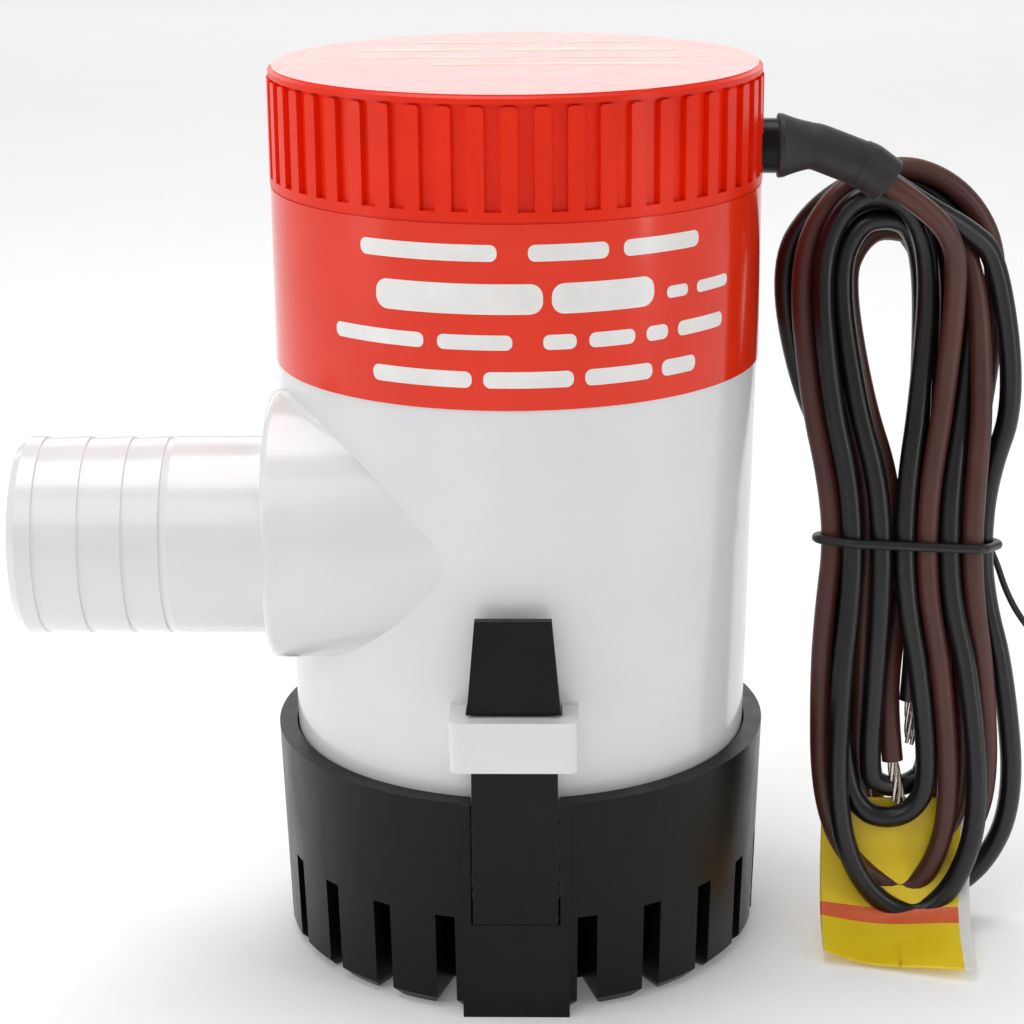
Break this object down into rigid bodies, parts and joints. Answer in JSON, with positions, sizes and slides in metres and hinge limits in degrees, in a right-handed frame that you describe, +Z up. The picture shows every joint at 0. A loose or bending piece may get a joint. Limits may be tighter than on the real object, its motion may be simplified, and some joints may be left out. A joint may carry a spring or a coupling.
{
  "type": "bilge pump",
  "caption": "Submersible bilge pump: white housing with a side hose outlet and orange ribbed cap, clipped into a slotted black strainer base, with a tied hank of wire",
  "frame": {"origin": "on the pump's axis, in the plane that the strainer base stands on", "axes": "+Z up along the pump and motor axis; the hose outlet points along -X; the latches face -Y and +Y"},
  "size_m": [0.1524, 0.0826, 0.134],
  "materials": {
    "black_plastic": "moulded black nylon, satin",
    "white_plastic": "moulded white ABS, glossy",
    "orange_plastic": "moulded orange-red ABS, satin gloss",
    "label_film": "glossy printed orange-red film with white print",
    "black_rubber": "moulded black rubber, satin",
    "stainless_steel": "turned stainless steel",
    "zinc_plated_steel": "drawn, zinc-plated steel",
    "ferrite": "sintered dark grey ferrite",
    "bronze": "sintered bronze",
    "carbon": "pressed carbon",
    "ceramic_blue": "blue dipped ceramic capacitor",
    "lamination_steel": "stacked steel laminations",
    "enamelled_copper": "enamelled copper",
    "impeller_plastic": "moulded grey acetal",
    "brown_wire": "brown PVC wire jacket, satin",
    "black_wire": "black PVC wire jacket, satin gloss",
    "tie_plastic": "black plastic-covered wire tie",
    "yellow_tag": "glossy yellow paper tag"
  },
  "bodies": {
    "base": {"strainer_base": "black_plastic"},
    "front_latch": {"front_latch_tab": "black_plastic"},
    "rear_latch": {"rear_latch_tab": "black_plastic"},
    "pump": {"black_lead": "black_wire", "brown_lead": "brown_wire", "brush_arms": "bronze", "cable_gland": "black_rubber", "cap": "orange_plastic", "cap_seal": "black_rubber", "carbon_brushes": "carbon", "cup_gasket": "black_rubber", "field_magnets": "ferrite", "inlet_plate": "black_plastic", "inner_black_lead": "black_wire", "inner_brown_lead": "brown_wire", "lower_bushing": "bronze", "motor_can": "zinc_plated_steel", "motor_cup": "white_plastic", "motor_cushion": "black_rubber", "motor_end_bell": "black_plastic", "motor_ring": "white_plastic", "outlet_spigot": "white_plastic", "plate_screws": "stainless_steel", "pump_housing": "white_plastic", "seal_retainer": "stainless_steel", "shaft_seal": "black_rubber", "side_label": "label_film", "strain_relief_boot": "black_rubber", "suppression_capacitor": "ceramic_blue", "top_label": "label_film", "upper_bushing": "bronze", "wire_hank": "black_wire", "wire_sleeve": "black_rubber", "wire_tag": "yellow_tag", "wire_tie": "tie_plastic"},
    "rotor": {"motor_shaft": "stainless_steel", "armature_core": "lamination_steel", "armature_windings": "enamelled_copper", "commutator": "enamelled_copper", "thrust_washer": "black_plastic", "impeller": "impeller_plastic"}
  },
  "joints": [
    {"name": "front_latch_flex", "type": "hinge", "parent": "base", "child": "front_latch", "pos_m": [0, -0.0369, 0.0155], "axis": [-1, 0, 0], "range_deg": [0, 2], "stiffness_Nm_per_rad": 3},
    {"name": "rear_latch_flex", "type": "hinge", "parent": "base", "child": "rear_latch", "pos_m": [0, 0.0369, 0.0155], "axis": [1, 0, 0], "range_deg": [0, 2], "stiffness_Nm_per_rad": 3},
    {"name": "pump_lift", "type": "slide", "parent": "base", "child": "pump", "axis": [0, 0, 1], "range_m": [0, 0.06], "deforming": ["front_latch_tab", "rear_latch_tab"]},
    {"name": "rotor_spin", "type": "hinge", "parent": "pump", "child": "rotor", "pos_m": [0, 0, 0.06], "axis": [0, 0, 1], "continuous": true}
  ]
}
